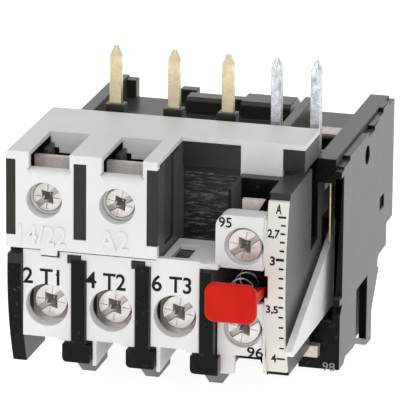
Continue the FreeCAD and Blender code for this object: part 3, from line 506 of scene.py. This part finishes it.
# the rounded lower lips of the two control notches, x from the left side of the notch
lips = {"left": {"lip_14": 3.5, "lip_a2": 14.4}, "x": (-0.28, 6.38), "y": (0.015, 1.7), "z": (-3.74, -2.65),
        "crest": 0.95}
crestAt = at(0, 0.1, -2.7)   # only the front upper edge lies before and above this
for name, left in lips["left"].items():
    shape = bmesh.new()
    block(shape, [left + side for side in lips["x"]], lips["y"], lips["z"])
    crest = [edge for edge in shape.edges
             if all(vert.co.y < crestAt.y and vert.co.z > crestAt.z for vert in edge.verts)]
    roundOff(shape, crest, lips["crest"], 6)
    addPiece(name, shape, "light_moulding", "relay")
print("mouldings eased")


def cutBy(piece, tools):
    for tool in tools:
        cut = piece.modifiers.new("cut", "BOOLEAN")
        cut.operation = "DIFFERENCE"
        cut.solver = "EXACT"
        cut.object = tool
    bpy.context.view_layer.update()
    done = bpy.data.meshes.new_from_object(piece.evaluated_get(bpy.context.evaluated_depsgraph_get()))
    piece.modifiers.clear()
    old = piece.data
    piece.data = done
    bpy.data.meshes.remove(old)
    for tool in tools:
        bpy.data.objects.remove(tool)


def turned(points, x, z):
    # spins a profile of (radius, y) points about the line through (x, z) along y
    shape = bmesh.new()
    verts = [shape.verts.new(at(x + radius, y, z)) for radius, y in points]
    edges = [shape.edges.new(pair) for pair in zip(verts, verts[1:])]
    bmesh.ops.spin(shape, geom=verts + edges, cent=at(x, 0, z), axis=(0, 1, 0), dvec=(0, 0, 0),
                   angle=2 * pi, steps=48, use_merge=True, use_duplicate=False)
    bmesh.ops.remove_doubles(shape, verts=shape.verts, dist=0.001 * millimetre)
    bmesh.ops.recalc_face_normals(shape, faces=shape.faces)
    return shape


# each closes most of the gap between a head and its hole; depths are from the head's front
collars = {"hole": {"control_screw_14": 2.66, "control_screw_a2": 2.66,
                    "contact_screw_95": 2.86, "contact_screw_96": 2.86},
           "gap": 0.05, "inner": 0.45, "outer": 0.35, "back": 0.8}
for node, hole in collars["hole"].items():
    x, z, radius, (front, _) = roundNode(node)
    radius += collars["gap"]
    profile = [(radius, front + collars["inner"]), (hole, front + collars["outer"]),
               (hole, front + collars["back"]), (radius, front + collars["back"]),
               (radius, front + collars["inner"])]
    addPiece(node + "_collar", turned(profile, x, z), "light_moulding", "relay")

screwLook = {"headDepth": 1.9, "crown": 0.02, "rim": 0.12, "shank": 1.5, "loadShank": 1.75, "point": 0.4,
             "slotWidth": 0.92, "slotDepth": 0.55, "starReach": 0.70, "starWaist": 0.60, "starDepth": 1.5,
             "starTip": 0.12, "markWidth": 0.14, "markReach": (0.42, 0.86), "markDepth": 0.22,
             "edge": 0.025, "edgeAngle": 35, "smoothAngle": 20}
turns = {"load_screw_1": -38, "load_screw_2": -40, "load_screw_3": -36, "control_screw_14": -42,
         "control_screw_a2": -30, "contact_screw_95": -35, "contact_screw_96": -35}
clear = 1.0   # how far a cutter reaches out of the head


def slotCutter(x, y, z, radius):
    shape = bmesh.new()
    half = screwLook["slotWidth"] / 2
    block(shape, (x - radius - clear, x + radius + clear), (y - clear, y + screwLook["slotDepth"]),
          (z - half, z + half))
    return shape


def starCutter(x, y, z, radius):
    # eight sided pit, wide along the wings and narrow between them
    shape = bmesh.new()
    deep, over = screwLook["starDepth"], 0.2
    stand = Matrix.Translation(at(x, y + deep / 2 - over / 2, z)) @ Matrix.Rotation(radians(-90), 4, "X")
    bmesh.ops.create_cone(shape, cap_ends=True, segments=8, depth=(deep + over) * millimetre, matrix=stand,
                          radius1=radius * screwLook["starReach"] * millimetre,
                          radius2=screwLook["starTip"] * millimetre)
    middle = at(x, 0, z)
    for vert in shape.verts:
        away = vert.co - middle
        # the wide end's corners between the wings go inwards
        across, up = abs(away.x) / millimetre, abs(away.z) / millimetre
        if sqrt(across ** 2 + up ** 2) > 0.5 and min(across, up) > 0.3:
            vert.co.x = middle.x + away.x * screwLook["starWaist"]
            vert.co.z = middle.z + away.z * screwLook["starWaist"]
    return shape


def markCutter(x, y, z, radius):
    # four short lines between the wings
    shape = bmesh.new()
    half = screwLook["markWidth"] / 2
    low, high = screwLook["markReach"]
    for quarter in range(4):
        verts = block(shape, (x - half, x + half), (y - clear, y + screwLook["markDepth"]),
                      (z + radius * low, z + radius * high))
        bmesh.ops.transform(shape, verts=verts, matrix=turnAbout(x, z, 45 + 90 * quarter))
    return shape


def detailScrew(node, turn):
    x, z, radius, (front, end) = roundNode(node)
    rim, point, neck = screwLook["rim"], screwLook["point"], front + screwLook["headDepth"]
    shank = screwLook["loadShank"] if "load" in node else screwLook["shank"]
    profile = [(0.0, front), (radius - rim, front + screwLook["crown"]), (radius, front + rim),
               (radius, neck), (shank, neck), (shank, end - point), (shank - point, end), (0.0, end)]
    piece = loose(node + "_turned", turned(profile, x, z))
    cutters = []
    for cutter in (slotCutter, starCutter, markCutter):
        shape = cutter(x, front, z, radius)
        bmesh.ops.transform(shape, verts=shape.verts, matrix=turnAbout(x, z, turn))
        bmesh.ops.recalc_face_normals(shape, faces=shape.faces)
        cutters.append(loose("cutter", shape))
    cutBy(piece, cutters)
    smoothMesh(piece.data, screwLook["smoothAngle"])
    # the depth below the front, which the finish reads to paint shade into the recesses
    below = piece.data.attributes.new("below", "FLOAT", "POINT")
    for vert, spot in zip(piece.data.vertices, below.data):
        spot.value = (vert.co.y - at(0, front, 0).y) / millimetre
    piece.data.materials.clear()
    piece.data.materials.append(finishes["screw_nickel"])
    roundEdges(piece, screwLook["edge"], 1, screwLook["edgeAngle"])
    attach(piece, bodyOf[node])
    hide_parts(node)


for node, turn in turns.items():
    detailScrew(node, turn)
print("screws turned")

springLook = {"wire": 0.15, "turns": 4, "steps": 36, "sides": 10}


def coilSpring():
    x, z, radius, (y0, y1) = roundNode("reset_spring")
    wire, turns = springLook["wire"], springLook["turns"]
    steps = turns * springLook["steps"]
    shape = bmesh.new()
    bmesh.ops.create_circle(shape, cap_ends=False, radius=wire * millimetre, segments=springLook["sides"],
                            matrix=Matrix.Translation(at(x + radius - wire, y0 + wire, z)))
    rise = (y1 - y0 - 2 * wire) / steps * millimetre
    bmesh.ops.spin(shape, geom=list(shape.verts) + list(shape.edges), cent=at(x, 0, z), axis=(0, 1, 0),
                   dvec=(0, rise, 0), angle=2 * pi * turns, steps=steps, use_duplicate=False)
    bmesh.ops.holes_fill(shape, edges=[edge for edge in shape.edges if edge.is_boundary], sides=12)
    bmesh.ops.recalc_face_normals(shape, faces=shape.faces)
    coil = addPiece("reset_coil", shape, "spring_wire", "relay", stands=("reset_spring",))
    press = next(joint for joint in record["behaviour"]["joints"] if joint["name"] == "reset_press")
    travel = press["range_m"][1] / millimetre
    1 - travel / (y1 - y0)
    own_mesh(coil)


coilSpring()
print("spring wound")

scale = {"pivot": (43.0, -18.0), "radius": 40.1}


def arcY(z):
    # y of the scale strip's face at a height
    y, middle = scale["pivot"]
    return y - sqrt(scale["radius"] ** 2 - (z - middle) ** 2)


def letters(name, words, x, z, face, finish, depth, bold):
    # words fitted between x and z limits, standing depth proud of the face at y or of the scale
    text = bpy.data.curves.new(name, "FONT")
    text.body = words
    text.extrude = 0.05
    text.offset = bold
    text.resolution_u = 6
    holder = bpy.data.objects.new(name, text)
    bpy.context.scene.collection.objects.link(holder)
    bpy.context.view_layer.update()
    mesh = bpy.data.meshes.new_from_object(holder.evaluated_get(bpy.context.evaluated_depsgraph_get()))
    bpy.data.objects.remove(holder)
    shape = bmesh.new()
    shape.from_mesh(mesh)
    bpy.data.meshes.remove(mesh)
    bmesh.ops.remove_doubles(shape, verts=shape.verts, dist=1e-5)
    low = [min(vert.co[i] for vert in shape.verts) for i in range(3)]
    high = [max(vert.co[i] for vert in shape.verts) for i in range(3)]
    for vert in shape.verts:
        across = x[0] + (vert.co.x - low[0]) / (high[0] - low[0]) * (x[1] - x[0])
        up = z[0] + (vert.co.y - low[1]) / (high[1] - low[1]) * (z[1] - z[0])
        proud = depth if vert.co.z > 0 else -depth
        vert.co = at(across, (arcY(up) if face == "scale" else face) - proud, up)
    addPiece(name, shape, finish, "relay")


# each group: finish, slot, depth, boldness; each mark: its words, x and z limits and its face's y
plateMarks = [
    ("blackInk", "light_moulding", 0.02, 0.018, {
        "mark2": ("2", (2.35, 3.85), (-20.2, -17.8), 1.0),
        "markT1": ("T1", (4.9, 7.85), (-20.2, -17.8), 1.0),
        "mark4": ("4", (11.7, 13.4), (-20.1, -17.6), 1.0),
        "markT2": ("T2", (14.4, 17.8), (-20.1, -17.6), 1.0),
        "mark6": ("6", (21.7, 23.2), (-19.7, -17.2), 1.0),
        "markT3": ("T3", (24.3, 27.6), (-19.7, -17.2), 1.0),
        "mark95": ("95", (31.2, 33.1), (-9.6, -8.05), 2.4),
        "mark96": ("96", (35.6, 38.0), (-28.9, -27.3), 2.4)}),
    ("light_moulding", "light_moulding", 0.25, 0.024, {
        "mark14": ("14/22", (1.95, 9.15), (-14.0, -11.0), 0.0),
        "markA2": ("A2", (13.9, 18.45), (-13.9, -10.8), 0.0)}),
    ("whiteInk", "black_moulding", 0.02, 0.0, {
        "mark98": ("98", (42.5, 44.4), (-36.5, -35.2), 21.0)}),
]
for finish, slot, depth, bold, group in plateMarks:
    for name, (words, x, z, face) in group.items():
        letters(name, words, x, z, face, finish, depth, bold)

# the slanted stroke at the top of the 1 in T1
flag = {"x": (7.13, 7.7), "y": (0.98, 1.03), "z": (-18.5, -18.2), "lean": -38}
shape = bmesh.new()
verts = block(shape, flag["x"], flag["y"], flag["z"])
bmesh.ops.transform(shape, verts=verts, matrix=turnAbout(flag["x"][1], flag["z"][1], flag["lean"]))
addPiece("markT1_flag", shape, "blackInk", "relay")

scalePrint = {"depth": 0.02, "bold": 0.032}
scaleMarks = {"scaleA": ("A", (39.1, 39.95), (-7.5, -6.15)), "scale27": ("2,7", (38.1, 39.9), (-11.1, -9.7)),
              "scale3": ("3", (38.65, 39.4), (-14.9, -13.55)),
              "scale35": ("3,5", (38.15, 39.95), (-22.35, -20.95)),
              "scale4": ("4", (38.65, 39.45), (-30.15, -28.8))}
for name, (words, x, z) in scaleMarks.items():
    letters(name, words, x, z, "scale", "blackInk", scalePrint["depth"], scalePrint["bold"])

ticks = {"first": -8.0, "step": 1.09, "growth": 0.0225, "count": 16, "broad": (0, 5, 15), "right": 40.7,
         "length": (0.70, 1.2), "half": (0.14, 0.20), "depth": (-0.02, 0.05)}
shape = bmesh.new()
for i in range(ticks["count"]):
    z = ticks["first"] - ticks["step"] * i - ticks["growth"] * i * i
    broad = int(i in ticks["broad"])
    half = ticks["half"][broad]
    block(shape, (ticks["right"] - ticks["length"][broad], ticks["right"]),
          [arcY(z) + depth for depth in ticks["depth"]], (z - half, z + half))
addPiece("scale_ticks", shape, "blackInk", "relay")
print("marks set")

studio = {"floorSize": 3.0, "floorGap": 0.00005, "floorDark": (0.42, 0.42, 0.42),
          "floorLight": (0.45, 0.45, 0.45), "cloudSize": 60.0, "floorGlow": 0.92,
          "white": (1.0, 1.0, 1.0), "worldStrength": 0.36, "aim": (0, 0, 0.02)}
# each lamp: place, size and power
lamps = {"frontKey": ((0.15, -1.0, 0.45), (0.8, 0.5), 3.2),
         "leftFill": ((-0.8, -0.5, 0.5), (0.6, 0.6), 0.5),
         "topSoft": ((0.0, -0.35, 1.1), (0.9, 0.7), 3.6),
         "backSoft": ((-0.30, 1.10, 0.42), (1.0, 0.4), 1.6),
         "rightSoft": ((0.95, 0.45, 0.28), (0.8, 0.6), 2.4)}


def stageFloor():
    finish = Finish("floor")
    cloud = finish.noise(studio["cloudSize"], detail=2.0)
    cloud = finish.ramp(cloud, ((0.0, studio["floorDark"]), (1.0, studio["floorLight"])))
    finish.set(Base_Color=cloud, Roughness=0.5, Specular_IOR_Level=0.2, Emission_Color=studio["white"],
               Emission_Strength=studio["floorGlow"])
    shape = bmesh.new()
    bmesh.ops.create_grid(shape, x_segments=2, y_segments=2, size=studio["floorSize"],
                          matrix=Matrix.Translation((0, 0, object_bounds()[0].z - studio["floorGap"])))
    floor = loose("floor", shape)
    floor.data.materials.append(finish.material)


def areaLight(name, place, size, power):
    lamp = bpy.data.lights.new(name, "AREA")
    lamp.shape = "RECTANGLE"
    lamp.size, lamp.size_y = size
    lamp.energy = power
    holder = bpy.data.objects.new(name, lamp)
    holder.location = place
    aim = Vector(studio["aim"]) - Vector(place)
    holder.rotation_euler = aim.to_track_quat("-Z", "Y").to_euler()
    bpy.context.scene.collection.objects.link(holder)


stageFloor()
world = bpy.data.worlds.new("studio")
world.use_nodes = True
sky = world.node_tree.nodes["Background"].inputs
sky["Color"].default_value = (*studio["white"], 1.0)
sky["Strength"].default_value = studio["worldStrength"]
bpy.context.scene.world = world
for name, (place, size, power) in lamps.items():
    areaLight(name, place, size, power)

view = {"azimuth": 14.53, "elevation": 17.24, "roll": 0.57, "place": (0.1725229, -0.6667647, 0.2389094),
        "lens": 437.128, "sensor": 36.0, "near": 0.05}
turnA, turnE, turnR = (radians(view[key]) for key in ("azimuth", "elevation", "roll"))
rightWay = Vector((cos(turnA), sin(turnA), 0))
upWay = Vector((-sin(turnA) * sin(turnE), cos(turnA) * sin(turnE), cos(turnE)))
backWay = Vector((sin(turnA) * cos(turnE), -cos(turnA) * cos(turnE), sin(turnE)))
rolledRight = rightWay * cos(turnR) + upWay * sin(turnR)
rolledUp = upWay * cos(turnR) - rightWay * sin(turnR)
lens = bpy.data.cameras.new("camera")
lens.lens = view["lens"]
lens.sensor_width = view["sensor"]
lens.clip_start = view["near"]
camera = bpy.data.objects.new("camera", lens)
turn = Matrix((rolledRight, rolledUp, backWay)).transposed().to_4x4()
camera.matrix_world = Matrix.Translation(view["place"]) @ turn
bpy.context.scene.collection.objects.link(camera)
bpy.context.scene.camera = camera
bpy.context.scene.view_settings.view_transform = "Standard"
print("stage lit")
